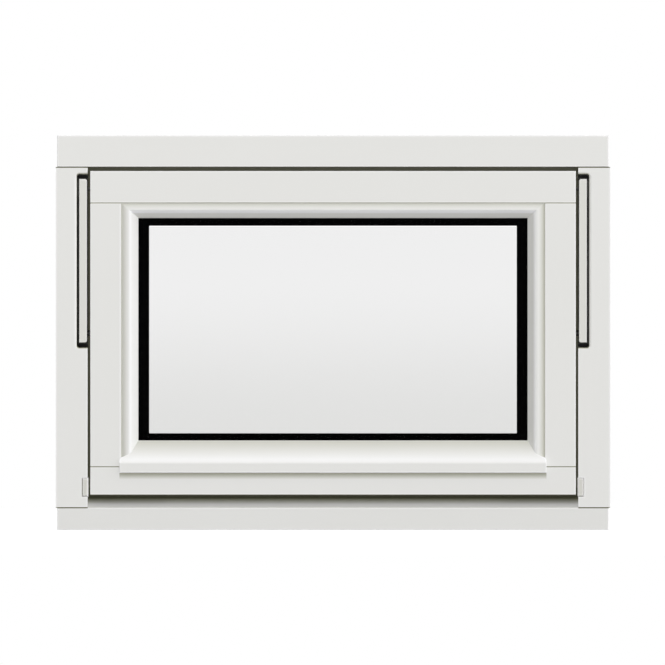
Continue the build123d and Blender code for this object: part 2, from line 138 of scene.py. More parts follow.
class PaintSettings(bpy.types.PropertyGroup):
    """Opaque paint on the timber, its joint lines, and the shade and highlights painted into it."""

    frame_colour: colour_setting("Frame", "Paint on the fixed frame", (0.79, 0.79, 0.772))
    sash_colour: colour_setting("Sash", "Paint on the sash", (0.79, 0.79, 0.772))
    bead_colour: colour_setting("Beads", "Paint on the glazing beads", (0.79, 0.79, 0.772))
    arm_colour: colour_setting("Arms", "Coating on the hinge arms", (0.71, 0.71, 0.67))
    handle_colour: colour_setting("Handle", "Coating on the handle", (0.76, 0.76, 0.74))
    roughness: share_setting("Roughness", "Roughness of the dry paint", 0.36)
    brush_spacing: length_setting("Brush spacing", "Distance between brush marks", 0.9 * MM)
    brush_depth: length_setting("Brush depth", "Depth of the brush marks", 0.02 * MM)
    coat_spacing: length_setting("Coat spacing", "Grain of the sprayed coating", 0.6 * MM)
    coat_depth: length_setting("Coat depth", "Depth of the sprayed coating's skin", 0.012 * MM)
    # Painted shade in the corners and gaps, and painted highlights on the arrises.
    corner_shade: share_setting("Corner shade", "How much darker the closest corners are", 0.8)
    corner_shade_reach: length_setting("Dust reach", "Widest gap that gets painted shade", 10 * MM)
    corner_shade_closed: share_setting("Dust closed", "How open a corner with its full painted shade still is", 0.5)
    arris_highlight: share_setting("Arris highlight", "How much lighter the arrises are", 0.08)
    arris_width: length_setting("Arris width", "How far the painted highlight reaches from an arris", 2.6 * MM)
    joint_width: length_setting("Joint width", "Width of the line of a butt joint", 1.8 * MM)
    joint_drop: length_setting("Joint drop", "How far an upper line lies below its joint", 0.3 * MM)
    frame_joint: share_setting("Frame joint", "Darkness of the lines in the frame", 0.9)
    upper_joint: share_setting("Upper joint", "Darkness of the line under the top rail", 0.5)
    lower_joint: share_setting("Lower joint", "Darkness of the line over the bottom rail", 0.6)
    # Painted shade and painted light in given places: the hinge recess, the guide block's housing, the
    # sill under the sash, the rail below the bead's nose, the sash's foot and the sloping bead.
    recess_shade: share_setting("Recess", "How much darker the hinge's recess is", 0.75)
    housing_light: share_setting("Housing", "How much lighter the guide block's housing is", 0.3)
    sill_shade: share_setting("Sill", "How much darker the sill is under the sash", 0.88)
    sill_edge_shade: share_setting("Sill edge", "How much darker the sill's front edge is", 0.12)
    nose_shadow: share_setting("Nose shadow", "How much darker the rail is below the nose", 0.52)
    foot_shade: share_setting("Sash foot", "How much darker the lower edge of the sash is", 0.9)
    slope_shade: share_setting("Slope", "How much darker the sloping bead is by the glass", 0.36)
    slope_light: share_setting("Slope light", "How much lighter the slope is behind its nose", 0.08)
    nose_light: share_setting("Nose", "How much lighter the lower edge of the nose is", 0.15)


class GlassSettings(bpy.types.PropertyGroup):
    """Sealed double pane, its spacer and the weather seals."""

    # The panes carry a painted reflection, lighter towards the top, and a painted glint just under the top
    # spacer.
    upper_painted_reflection: colour_setting("Upper reflection", "What the top of a pane lets through", (0.93, 0.93, 0.93))
    lower_painted_reflection: colour_setting("Lower reflection", "What its foot lets through", (0.867, 0.867, 0.862))
    painted_reflection_rise: share_setting("Reflection rise", "Share of the height over which the painted reflection changes", 0.75)
    glint_height: length_setting("Glint", "Height of the bright line under the top spacer", 1.2 * MM)
    reflection: share_setting("Reflection", "How much a pane mirrors head-on", 0.03)
    spacer_colour: colour_setting("Spacer", "Spacer and edge seal", (0.003, 0.003, 0.003))
    seal_colour: colour_setting("Seals", "Rubber weather seals", (0.05, 0.05, 0.047))


class HardwareSettings(bpy.types.PropertyGroup):
    """Small fasteners, bare metal and nylon."""

    screw_head: length_setting("Screw head", "Diameter of a screw head", 7 * MM)
    screw_rise: length_setting("Screw rise", "Height of a screw head above its seat", 1 * MM)
    cap_diameter: length_setting("Cap", "Diameter of the caps over the frame screws", 12 * MM)
    cap_rise: length_setting("Cap rise", "Height of a cap", 1.6 * MM)
    steel_colour: colour_setting("Steel", "Zinc plated steel", (0.56, 0.57, 0.58))
    # Pins, brackets and tracks are blackened and dark anodised, and kept this dark as painted shade in the
    # hinge recess and pockets.
    pin_colour: colour_setting("Pins", "Blackened steel of pins and brackets", (0.035, 0.035, 0.033))
    track_colour: colour_setting("Track", "Dark anodised hinge tracks", (0.06, 0.06, 0.055))
    nylon_colour: colour_setting("Nylon", "Guide blocks", (0.64, 0.635, 0.59))
    # Painted light on the edges of the guide blocks, which softens their shade.
    nylon_highlight: share_setting("Nylon highlight", "How much lighter the edges of a guide block are", 0.4)
    # The rollers are coloured dark as painted shade, for they sit in the hinge recess, which the
    # shadowless key light still reaches.
    roller_shade_colour: colour_setting("Rollers", "Nylon of the slide rollers, dark with painted shade", (0.14, 0.14, 0.13))


class StageSettings(bpy.types.PropertyGroup):
    """Floor, light and camera."""

    picture_width: length_setting("Picture width", "Width of the view at the window", 0.9472)
    picture_centre: length_setting("Picture centre", "Height of the view's middle", 0.28124)
    picture_shift: length_setting("Picture shift", "Middle of the view across the window", -0.00066)
    lens: level_setting("Lens", "Focal length in millimetres", 1000.0)
    floor_size: length_setting("Floor", "Side of the square floor", 6.0)
    floor_colour: colour_setting("Floor colour", "Matt surface of the floor", (0.8, 0.8, 0.8))
    floor_glow: level_setting("Floor glow", "Light that keeps the floor pale where it is seen", 0.4)
    floor_bounce: level_setting("Floor bounce", "Light that the floor sends up", 0.55)
    surround: level_setting("Surround", "Even part of the light", 0.86)
    surround_colour: colour_setting("Surround colour", "Colour of the even light", (1, 0.997, 0.966))
    ceiling: share_setting("Ceiling", "How much less comes from straight above", 0.5)
    lean: level_setting("Lean", "How much more comes from the key side", 0.3)
    key_strength: level_setting("Key", "Strength of the key light", 1.65)
    key_colour: colour_setting("Key colour", "Colour of the key light", (0.95, 0.945, 1))
    highlight_strength: level_setting("Highlight", "Strength of the light for highlights only", 0.3)
    light_width: FloatProperty(
        name="Light width",
        description="How wide both lights look from the window",
        subtype="ANGLE",
        default=math.radians(30),
    )


SETTINGS = {
    "window_paint": PaintSettings,
    "window_glass": GlassSettings,
    "window_hardware": HardwareSettings,
    "window_stage": StageSettings,
}


# Nodes


def add_node(tree, kind, inputs=None, **settings):
    """Add one shader node, set its options, and set or link its inputs."""
    made = tree.nodes.new(kind)
    for option, value in settings.items():
        setattr(made, option, value)
    for socket, value in (inputs or {}).items():
        if isinstance(value, bpy.types.NodeSocket):
            tree.links.new(value, made.inputs[socket])
        else:
            made.inputs[socket].default_value = value
    return made


def arithmetic(tree, operation, first, second=0.0):
    """One sum, product or comparison of two values."""
    return add_node(tree, "ShaderNodeMath", {0: first, 1: second}, operation=operation).outputs[0]


def vectors(tree, operation, first, second):
    """One sum or product of two vectors. A dot product comes out as a value."""
    made = add_node(tree, "ShaderNodeVectorMath", {0: first, 1: second}, operation=operation)
    return made.outputs["Value" if operation == "DOT_PRODUCT" else "Vector"]


def add_share(tree, share, amount, total):
    """The total with this amount added where the share is 1."""
    made = add_node(
        tree, "ShaderNodeMath", {0: share, 1: amount, 2: total}, operation="MULTIPLY_ADD"
    )
    return made.outputs[0]


def ramp(tree, value, zero_at, one_at, **settings):
    """0 before the first value, 1 past the second, and a rise from 0 to 1 between them."""
    sockets = {"Value": value, "From Min": zero_at, "From Max": one_at}
    return add_node(tree, "ShaderNodeMapRange", sockets, **settings).outputs[0]


def halfway(tree, factor, first, second):
    """A value between two values."""
    made = add_node(tree, "ShaderNodeMix", {0: factor, 2: first, 3: second}, data_type="FLOAT")
    return made.outputs[0]


def blend_colours(tree, factor, first, second):
    """A colour between two colours."""
    made = add_node(tree, "ShaderNodeMix", {0: factor, 6: first, 7: second}, data_type="RGBA")
    return made.outputs[2]


def noise(tree, vector, scale, **values):
    """Even noise from 0 to 1."""
    sockets = {"Vector": vector, "Scale": scale, **values}
    return add_node(tree, "ShaderNodeTexNoise", sockets).outputs["Fac"]


def axes(tree, vector):
    """The distance from the middle of the window to either side, the depth and the height."""
    parts = add_node(tree, "ShaderNodeSeparateXYZ", {0: vector}).outputs
    return arithmetic(tree, "ABSOLUTE", parts["X"]), parts["Y"], parts["Z"]


# Shader groups


def new_group(name, inputs, outputs):
    """An empty shader group with these sockets, its inputs and its output node."""
    group = bpy.data.node_groups.new(name, "ShaderNodeTree")
    for socket, (kind, default) in inputs.items():
        made = group.interface.new_socket(name=socket, in_out="INPUT", socket_type=kind)
        made.default_value = default
    for socket, kind in outputs.items():
        group.interface.new_socket(name=socket, in_out="OUTPUT", socket_type=kind)
    entry = add_node(group, "NodeGroupInput")
    leave = add_node(group, "NodeGroupOutput")
    return group, entry.outputs, leave


def build_surface_skin(name):
    """Skin of fine marks with painted shade in corners and painted highlights on arrises: colour,
    roughness and normal vary over the surface.

    Sky is how open a point is outwards and Solid how open it is inwards, both 1 on a flat face.
    """
    group, entry, leave = new_group(
        name,
        {
            "Vector": ("NodeSocketVector", (0, 0, 0)),
            "Stretch": ("NodeSocketVector", (1, 1, 1)),
            "Colour": ("NodeSocketColor", (0.8, 0.8, 0.8, 1)),
            "Spacing": ("NodeSocketFloat", 1 * MM),
            "Depth": ("NodeSocketFloat", 0.02 * MM),
            "Roughness": ("NodeSocketFloat", 0.4),
            "Unevenness": ("NodeSocketFloat", 0.1),
            "Tone": ("NodeSocketFloat", 0.03),
            "Darkness": ("NodeSocketFloat", 0.0),
            "Sky": ("NodeSocketFloat", 1.0),
            "Closed": ("NodeSocketFloat", 0.5),
            "Corner shade": ("NodeSocketFloat", 0.0),
            "Solid": ("NodeSocketFloat", 1.0),
            "Arris light": ("NodeSocketFloat", 0.0),
        },
        {"Colour": "NodeSocketColor", "Roughness": "NodeSocketFloat", "Normal": "NodeSocketVector"},
    )
    density = arithmetic(group, "DIVIDE", 1.0, entry["Spacing"])
    drawn = vectors(group, "MULTIPLY", entry["Vector"], entry["Stretch"])
    marks = noise(group, drawn, density, Detail=3.0, Roughness=0.55)
    peel = noise(group, entry["Vector"], PEEL_SCALE, Detail=1.0)
    clouds = noise(group, entry["Vector"], CLOUD_SCALE, Detail=2.0)
    relief = halfway(group, PEEL_SHARE, marks, peel)
    bump = add_node(
        group, "ShaderNodeBump", {"Strength": 1.0, "Distance": entry["Depth"], "Height": relief}
    )

    # Painted shade where a point is closed off outwards, and a painted highlight where it is less open
    # inwards, on an arris.
    painted_shading = ramp(group, entry["Sky"], 1.0, entry["Closed"])
    arris_lit = ramp(group, entry["Solid"], 1.0, ARRIS_LIGHT_SOLID)
    shade_and_joints = add_share(group, painted_shading, entry["Corner shade"], entry["Darkness"])
    darkness = arithmetic(group, "SUBTRACT", shade_and_joints, arithmetic(group, "MULTIPLY", arris_lit, entry["Arris light"]))

    shade = halfway(group, 0.5, clouds, marks)
    kept = arithmetic(group, "SUBTRACT", 1.0, arithmetic(group, "MULTIPLY", shade, entry["Tone"]))
    unshaded = arithmetic(group, "SUBTRACT", 1.0, darkness)
    share = arithmetic(group, "MULTIPLY", kept, unshaded)
    warmer = arithmetic(group, "POWER", share, SHADE_WARMTH)
    scale = add_node(group, "ShaderNodeCombineXYZ", {0: share, 1: share, 2: warmer}).outputs[0]
    centred = arithmetic(group, "SUBTRACT", shade, 0.5)

    group.links.new(vectors(group, "MULTIPLY", entry["Colour"], scale), leave.inputs["Colour"])
    roughness = add_share(group, centred, entry["Unevenness"], entry["Roughness"])
    group.links.new(roughness, leave.inputs["Roughness"])
    group.links.new(bump.outputs[0], leave.inputs["Normal"])


def build_mirrored_box(name):
    """1 inside a box and its mirror image across the window, and 0 elsewhere."""
    group, entry, leave = new_group(
        name,
        {
            "Vector": ("NodeSocketVector", (0, 0, 0)),
            "Low": ("NodeSocketVector", (-FAR, -FAR, -FAR)),
            "High": ("NodeSocketVector", (FAR, FAR, FAR)),
        },
        {"Share": "NodeSocketFloat"},
    )
    lows = add_node(group, "ShaderNodeSeparateXYZ", {0: entry["Low"]}).outputs
    highs = add_node(group, "ShaderNodeSeparateXYZ", {0: entry["High"]}).outputs
    share = 1.0
    for value, low, high in zip(axes(group, entry["Vector"]), lows, highs):
        share = arithmetic(group, "MULTIPLY", share, arithmetic(group, "GREATER_THAN", value, low))
        share = arithmetic(group, "MULTIPLY", share, arithmetic(group, "LESS_THAN", value, high))
    group.links.new(share, leave.inputs["Share"])


def build_joint_line(name):
    """Open line of a butt joint across the outside face, farther out than Beyond from the middle."""
    group, entry, leave = new_group(
        name,
        {
            "Vector": ("NodeSocketVector", (0, 0, 0)),
            "Height": ("NodeSocketFloat", 0.0),
            "Width": ("NodeSocketFloat", 1 * MM),
            "Face": ("NodeSocketFloat", 0.0),
            "Beyond": ("NodeSocketFloat", -FAR),
        },
        {"Share": "NodeSocketFloat"},
    )
    across, depth, height = axes(group, entry["Vector"])
    offset = arithmetic(group, "SUBTRACT", height, entry["Height"])
    edge = arithmetic(group, "MULTIPLY", entry["Width"], 0.6)
    core = arithmetic(group, "MULTIPLY", entry["Width"], 0.4)
    line = ramp(group, arithmetic(group, "ABSOLUTE", offset), edge, core)
    back = arithmetic(group, "ADD", entry["Face"], 4 * MM)
    front = arithmetic(group, "ADD", entry["Face"], 2 * MM)
    outside = arithmetic(group, "MULTIPLY", line, ramp(group, depth, back, front))
    apart = arithmetic(group, "GREATER_THAN", across, entry["Beyond"])
    group.links.new(arithmetic(group, "MULTIPLY", outside, apart), leave.inputs["Share"])


def build_moulding_shading(name):
    """Painted shade and painted highlight on a glazing bead, by the distance from its outer edge, which is
    next to the sash.

    Painted shade lies in the quirk and on the lip by the glass, and a painted highlight on the nose at the
    ridge.
    """
    group, entry, leave = new_group(
        name,
        {
            "Vector": ("NodeSocketVector", (0, 0, 0)),
            "Edge": ("NodeSocketVector", (0, 0, 0)),
            "Inward": ("NodeSocketVector", (0, 0, -1)),
            "Quirk": ("NodeSocketFloat", 0.2),
            "Nose": ("NodeSocketFloat", 0.1),
            "Ridge": ("NodeSocketFloat", 13 * MM),
            "Lip": ("NodeSocketFloat", 0.0),
        },
        {"Darkness": "NodeSocketFloat"},
    )
    inwards = vectors(group, "SUBTRACT", entry["Vector"], entry["Edge"])
    distance = vectors(group, "DOT_PRODUCT", inwards, entry["Inward"])
    from_ridge = arithmetic(group, "SUBTRACT", distance, entry["Ridge"])
    off_ridge = arithmetic(group, "ABSOLUTE", from_ridge)
    nose = ramp(group, off_ridge, NOSE_EDGE, NOSE_CREST)
    quirk = ramp(group, distance, QUIRK_MOUTH, QUIRK_FOOT)
    lip = ramp(group, distance, LIP_START, LIP_END)
    nose_lit = arithmetic(group, "MULTIPLY", nose, arithmetic(group, "MULTIPLY", entry["Nose"], -1.0))
    painted_shading = add_share(group, quirk, entry["Quirk"], nose_lit)
    group.links.new(add_share(group, lip, entry["Lip"], painted_shading), leave.inputs["Darkness"])


BUILDERS = {
    "surface_skin": build_surface_skin,
    "mirrored_box": build_mirrored_box,
    "joint_line": build_joint_line,
    "moulding_shading": build_moulding_shading,
}


def place_group(tree, name, inputs, label=""):
    """Place a shader group in a material on the piece's own coordinates, built at its first use."""
    if name not in bpy.data.node_groups:
        BUILDERS[name](name)
    return add_node(
        tree,
        "ShaderNodeGroup",
        {"Vector": tree.nodes["place"].outputs["Object"], **inputs},
        node_tree=bpy.data.node_groups[name],
        name=label or name,
    )


# Materials


def new_material(name):
    """A material with one surface, and the piece's own coordinates."""
    made = bpy.data.materials.new(name)
    made.use_nodes = True
    tree = made.node_tree
    tree.nodes.clear()
    shader = add_node(tree, "ShaderNodeBsdfPrincipled")
    add_node(tree, "ShaderNodeOutputMaterial", {"Surface": shader.outputs[0]})
    add_node(tree, "ShaderNodeTexCoord", name="place")
    return made, tree, shader


def skinned_material(name, colour, stretch=EVEN, constants=None, **skin_values):
    """A material whose colour, roughness and normal come from the surface skin.

    The constants go to the surface itself, and the other values to the skin's inputs of the same name.
    """
    made, tree, shader = new_material(name)
    inputs = {socket.capitalize(): value for socket, value in skin_values.items()}
    skin = place_group(
        tree, "surface_skin", {"Stretch": stretch, "Colour": (*colour, 1), **inputs}, label="skin"
    )
    tree.links.new(skin.outputs["Colour"], shader.inputs["Base Color"])
    tree.links.new(skin.outputs["Roughness"], shader.inputs["Roughness"])
    tree.links.new(skin.outputs["Normal"], shader.inputs["Normal"])
    for socket, value in (constants or {}).items():
        shader.inputs[socket].default_value = value
    return made


def brushed_paint(name, colour, grain):
    """Satin paint laid on timber with the brush drawn along the grain."""
    paint = bpy.context.scene.window_paint
    return skinned_material(
        name,
        colour,
        grain,
        spacing=paint.brush_spacing,
        depth=paint.brush_depth,
        roughness=paint.roughness,
        unevenness=0.12,
        tone=0.03,
    )


def sprayed_coat(name, colour, roughness):
    """Fine even skin of powder coat, and of the smooth plastic that matches it."""
    paint = bpy.context.scene.window_paint
    return skinned_material(
        name,
        colour,
        spacing=paint.coat_spacing,
        depth=paint.coat_depth,
        roughness=roughness,
        unevenness=0.1,
        tone=0.02,
    )


def bare_metal(name, colour, roughness, stretch=EVEN):
    """Bare, anodised or plated metal with fine marks, which a stretch draws out into lines."""
    return skinned_material(
        name,
        colour,
        stretch,
        {"Metallic": 1.0},
        spacing=0.25 * MM,
        depth=0.004 * MM,
        roughness=roughness,
        unevenness=0.2,
        tone=0.08,
    )


def moulded_nylon(name, colour, roughness):
    """Nylon with the dull even skin of its mould."""
    return skinned_material(
        name,
        colour,
        spacing=0.5 * MM,
        depth=0.01 * MM,
        roughness=roughness,
        unevenness=0.1,
        tone=0.03,
    )


def darken(material, share, amount):
    """Darken the colour by this amount where the share is 1. An amount below 0 lightens it."""
    tree = material.node_tree
    darkness = tree.nodes["skin"].inputs["Darkness"]
    before = darkness.links[0].from_socket if darkness.is_linked else darkness.default_value
    tree.links.new(add_share(tree, share, amount, before), darkness)


def darken_along(material, axis, zero_at, one_at, amount, box=None):
    """Darken the colour more and more along one axis, and only within the box if there is one."""
    tree = material.node_tree
    parts = add_node(tree, "ShaderNodeSeparateXYZ", {0: tree.nodes["place"].outputs["Object"]})
    share = ramp(tree, parts.outputs[axis], zero_at, one_at)
    if box is not None:
        low, high = box
        inside = place_group(tree, "mirrored_box", {"Low": low, "High": high}).outputs["Share"]
        share = arithmetic(tree, "MULTIPLY", inside, share)
    darken(material, share, amount)


def paint_corner_shade(material, paint):
    """Paint shade into the corners and gaps that the sky barely reaches."""
    tree = material.node_tree
    skin = tree.nodes["skin"]
    sky = add_node(
        tree, "ShaderNodeAmbientOcclusion", {"Distance": paint.corner_shade_reach}, samples=OPENNESS_RAYS
    )
    tree.links.new(sky.outputs["AO"], skin.inputs["Sky"])
    skin.inputs["Closed"].default_value = paint.corner_shade_closed
    skin.inputs["Corner shade"].default_value = paint.corner_shade


def paint_arris_highlight(material, reach, amount):
    """Paint a highlight onto the arrises by lightening the colour there."""
    tree = material.node_tree
    skin = tree.nodes["skin"]
    solid = add_node(
        tree,
        "ShaderNodeAmbientOcclusion",
        {"Distance": reach},
        samples=OPENNESS_RAYS,
        inside=True,
        only_local=True,
    )
    tree.links.new(solid.outputs["AO"], skin.inputs["Solid"])
    skin.inputs["Arris light"].default_value = amount


def mark_joint(material, height, face, amount, beyond=-FAR):
    """Draw the line of a butt joint, farther out than beyond from the middle of the window."""
    width = bpy.context.scene.window_paint.joint_width
    line = place_group(
        material.node_tree,
        "joint_line",
        {"Height": height, "Width": width, "Face": face, "Beyond": beyond},
    )
    darken(material, line.outputs["Share"], amount)


def paint_bead_shading(material, edge, inward, **amounts):
    """Paint shade and highlight onto a glazing bead inwards from a point on its outer edge, by amounts
    named as the inputs.
    """
    inputs = {socket.capitalize(): value for socket, value in amounts.items()}
    tone = place_group(
        material.node_tree, "moulding_shading", {"Edge": edge, "Inward": inward, **inputs}
    )
    darken(material, tone.outputs["Darkness"], 1.0)


def finish_nodes(names, material):
    """Give these nodes this material in every slot."""
    for name in names:
        for slot in nodes[name].material_slots:
            slot.material = material


def pair(name):
    """Both hands of a node."""
    return [f"{name}_{side}" for side in SIDES]


# Frame


def shade_recess(jamb, front, paint):
    """Darken the hinge's recess in the jambs, fully from a little behind their front face."""
    low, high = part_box("hinge_track_right")
    before = Vector((1, 100, 10)) * MM
    after = Vector((1, 10, 10)) * MM
    light_until = front + 0.1 * MM
    dark_from = front + 1.5 * MM
    box = (low - before, high + after)
    darken_along(jamb, "Y", light_until, dark_from, paint.recess_shade, box)


def paint_housing_light(jamb, paint):
    """Paint light onto the housing round the guide block, where pale nylon shines back."""
    low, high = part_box("guide_block_right")
    before = Vector((1, -1, 1)) * MM
    after = Vector((1, 1, 1)) * MM
    box = {"Low": low - before, "High": high + after}
    housing = place_group(jamb.node_tree, "mirrored_box", box)
    darken(jamb, housing.outputs["Share"], -paint.housing_light)


def shade_sill(sill, front, foot, paint):
    """Paint shade onto the sloping top of the sill under the sash, deepest towards the back, and a little
    along its front edge.
    """
    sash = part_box("sash_bottom_rail")[1]
    low = (-FAR, -FAR, foot - 0.5 * MM)
    high = (sash.x + 4 * MM, sash.y + 6 * MM, FAR)
    edge_start = front + 7 * MM
    edge_full = front + 3 * MM
    sash_shade_start = front + 17 * MM
    sash_shade_full = front + 45 * MM
    darken_along(sill, "Y", edge_start, edge_full, paint.sill_edge_shade, (low, high))
    darken_along(sill, "Y", sash_shade_start, sash_shade_full, paint.sill_shade, (low, high))


class WINDOW_OT_paint_frame(bpy.types.Operator):
    """Paint the head, sill and jambs"""

    bl_idname = "window.paint_frame"
    bl_label = "Paint Frame"

    def execute(self, context):
        paint = context.scene.window_paint
        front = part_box("frame_head")[0].y
        foot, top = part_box("frame_jamb_right")
        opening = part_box("guide_block_right")[0].x + 1 * MM
        head = brushed_paint("frame_paint_across", paint.frame_colour, ALONG_X)
        jamb = brushed_paint("frame_paint_upright", paint.frame_colour, ALONG_Z)
        sill = brushed_paint("sill_paint", paint.frame_colour, ALONG_X)
        # Painted shade in the hinge recess, on the sill under the sash and in the corners of head and
        # jambs; painted light on the guide block's housing and painted highlights on every arris.
        shade_recess(jamb, front, paint)
        paint_housing_light(jamb, paint)
        shade_sill(sill, front, foot.z, paint)
        for material in (head, jamb):
            paint_corner_shade(material, paint)
            mark_joint(material, top.z - paint.joint_drop, front, paint.frame_joint)
        mark_joint(jamb, foot.z, front, paint.frame_joint)
        mark_joint(sill, foot.z, front, paint.frame_joint, beyond=opening)
        for material in (head, jamb, sill):
            paint_arris_highlight(material, paint.arris_width, paint.arris_highlight)
        finish_nodes(["frame_head"], head)
        finish_nodes(pair("frame_jamb"), jamb)
        finish_nodes(["frame_sill"], sill)
        return {"FINISHED"}


# Sash


def shade_rail(rail, paint):
    """Paint shade onto the bottom rail: a painted shadow below the nose of the bead, and painted shade
    along its foot.
    """
    nose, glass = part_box("bead_bottom")
    below = ((-FAR, -FAR, -FAR), (glass.x, FAR, nose.z))
    shadow_end = nose.z - 9.5 * MM
    shadow_full = nose.z - 2 * MM
    darken_along(rail, "Z", shadow_end, shadow_full, paint.nose_shadow, below)
    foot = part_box("sash_bottom_rail")[0].z
    foot_start = foot + 1.1 * MM
    foot_full = foot + 0.5 * MM
    darken_along(rail, "Z", foot_start, foot_full, paint.foot_shade)


def shade_slope(slope, paint):
    """Paint shade onto the sloping bead towards the glass, and paint light onto it behind its nose and on
    the nose's foot.
    """
    nose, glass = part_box("bead_bottom")
    shade_start = nose.y + 4 * MM
    shade_full = glass.y - 3 * MM
    lit_start = nose.y + 0.5 * MM
    lit_full = nose.y + 2 * MM
    nose_start = nose.z + 1.6 * MM
    nose_full = nose.z + 0.4 * MM
    darken_along(slope, "Y", shade_start, shade_full, paint.slope_shade)
    darken_along(slope, "Y", lit_start, lit_full, -paint.slope_light)
    darken_along(slope, "Z", nose_start, nose_full, -paint.nose_light)


class WINDOW_OT_paint_sash(bpy.types.Operator):
    """Paint the rails and stiles of the sash"""

    bl_idname = "window.paint_sash"
    bl_label = "Paint Sash"

    def execute(self, context):
        paint = context.scene.window_paint
        foot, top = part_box("sash_stile_right")
        rail = brushed_paint("sash_paint_across", paint.sash_colour, ALONG_X)
        stile = brushed_paint("sash_paint_upright", paint.sash_colour, ALONG_Z)
        # Joint lines, painted highlights on the arrises, and painted shade on the bottom rail below the
        # bead's nose and along its foot.
        for material in (rail, stile):
            mark_joint(material, top.z - paint.joint_drop, foot.y, paint.upper_joint)
            mark_joint(material, foot.z, foot.y, paint.lower_joint)
            paint_arris_highlight(material, paint.arris_width, paint.arris_highlight)
        shade_rail(rail, paint)
        finish_nodes(["sash_top_rail", "sash_bottom_rail"], rail)
        finish_nodes(pair("sash_stile"), stile)
        return {"FINISHED"}


class WINDOW_OT_paint_beads(bpy.types.Operator):
    """Paint the moulded glazing beads and the sloping bottom bead"""

    bl_idname = "window.paint_beads"
    bl_label = "Paint Beads"

    def execute(self, context):
        paint = context.scene.window_paint
        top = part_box("sash_stile_right")[1]
        # Lit and shaded copies of one paint: each bead gets its own painted shade in the quirk and by the
        # glass and its own painted highlight on the nose, for how the light falls on its side.
        upper = brushed_paint("bead_paint_across", paint.bead_colour, ALONG_X)
        paint_bead_shading(
            upper, (0, 0, top.z), (0, 0, -1), quirk=0.22, nose=0.28, ridge=12.8 * MM, lip=0.12
        )
        left = brushed_paint("bead_paint_left", paint.bead_colour, ALONG_Z)
        paint_bead_shading(
            left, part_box("bead_left")[0], (1, 0, 0), quirk=0.24, nose=0.1, ridge=13 * MM, lip=0.04
        )
        right = brushed_paint("bead_paint_right", paint.bead_colour, ALONG_Z)
        paint_bead_shading(
            right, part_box("bead_right")[1], (-1, 0, 0), quirk=0.36, nose=0.15, ridge=14.5 * MM, lip=0
        )
        slope = brushed_paint("bead_paint_slope", paint.bead_colour, ALONG_X)
        shade_slope(slope, paint)
        paint_arris_highlight(slope, paint.arris_width, paint.arris_highlight)
        finish_nodes(["bead_top"], upper)
        finish_nodes(["bead_left"], left)
        finish_nodes(["bead_right"], right)
        finish_nodes(["bead_bottom"], slope)
        return {"FINISHED"}


def glass_with_painted_light(glass):
    """Clear glass with a painted reflection that is lighter towards its top."""
    made, tree, shader = new_material("window_glass")
    foot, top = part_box("spacer_bottom")[1].z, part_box("spacer_top")[0].z
    place = tree.nodes["place"].outputs["Object"]
    height = add_node(tree, "ShaderNodeSeparateXYZ", {0: place}).outputs["Z"]
    full = foot + glass.painted_reflection_rise * (top - foot)
    share = ramp(tree, height, foot, full, interpolation_type="SMOOTHSTEP")
    reflection_colour = blend_colours(tree, share, (*glass.lower_painted_reflection, 1), (*glass.upper_painted_reflection, 1))
    # Painted glint: a bright line just under the top spacer.
    glint = ramp(tree, height, top - 1.5 * glass.glint_height, top - glass.glint_height)
    tree.links.new(blend_colours(tree, glint, reflection_colour, (1, 1, 1, 1)), shader.inputs["Base Color"])
    shader.inputs["Transmission Weight"].default_value = 1.0
    shader.inputs["IOR"].default_value = 1.5
    shader.inputs["Roughness"].default_value = 0.0
    mirrored = glass.reflection
    shader.inputs["Specular Tint"].default_value = (mirrored, mirrored, mirrored, 1)
    return made


class WINDOW_OT_glaze(bpy.types.Operator):
    """Finish the panes, the spacer and the weather seals"""

    bl_idname = "window.glaze"
    bl_label = "Glaze"

    def execute(self, context):
        glass = context.scene.window_glass
        spacer = skinned_material(
            "spacer_black",
            glass.spacer_colour,
            constants={"Specular IOR Level": 0.0},
            spacing=0.8 * MM,
            depth=0.01 * MM,
            roughness=0.8,
            unevenness=0.1,
            tone=0.1,
        )
        seal = skinned_material(
            "seal_rubber",
            glass.seal_colour,
            spacing=0.7 * MM,
            depth=0.01 * MM,
            roughness=0.65,
            unevenness=0.1,
            tone=0.05,
        )
        # Panes with a painted reflection and a painted glint.
        finish_nodes(["glass_outer_pane", "glass_inner_pane"], glass_with_painted_light(glass))
        finish_nodes(["spacer_top", "spacer_bottom", *pair("spacer")], spacer)
        finish_nodes(["frame_seal_top", "frame_seal_bottom", *pair("frame_seal")], seal)
        return {"FINISHED"}


# Hardware


class WINDOW_OT_finish_hinges(bpy.types.Operator):
    """Finish the hinge arms, tracks, pins, rollers, brackets and guide blocks"""

    bl_idname = "window.finish_hinges"
    bl_label = "Finish Hinges"

    def execute(self, context):
        paint = context.scene.window_paint
        hardware = context.scene.window_hardware
        arm = sprayed_coat("arm_coat", paint.arm_colour, roughness=0.32)
        # Painted highlights on the arrises of the arms.
        paint_arris_highlight(arm, paint.arris_width, paint.arris_highlight)
        track = bare_metal("track_aluminium", hardware.track_colour, roughness=0.38, stretch=ALONG_Z)
        black = bare_metal("blackened_steel", hardware.pin_colour, roughness=0.4)
        block = moulded_nylon("guide_nylon", hardware.nylon_colour, roughness=0.42)
        # Painted light on the edges of the guide blocks.
        paint_arris_highlight(block, paint.arris_width, hardware.nylon_highlight)
        # Rollers dark as painted shade in the hinge recess.
        roller = moulded_nylon("roller_nylon", hardware.roller_shade_colour, roughness=0.5)
        finish_nodes(pair("hinge_arm"), arm)
        finish_nodes(pair("hinge_track"), track)
        finish_nodes([*pair("frame_pivot_pin"), *pair("sash_pivot_pin"), *pair("sash_bracket")], black)
        finish_nodes(pair("guide_block"), block)
        finish_nodes(pair("slide_roller"), roller)
        return {"FINISHED"}


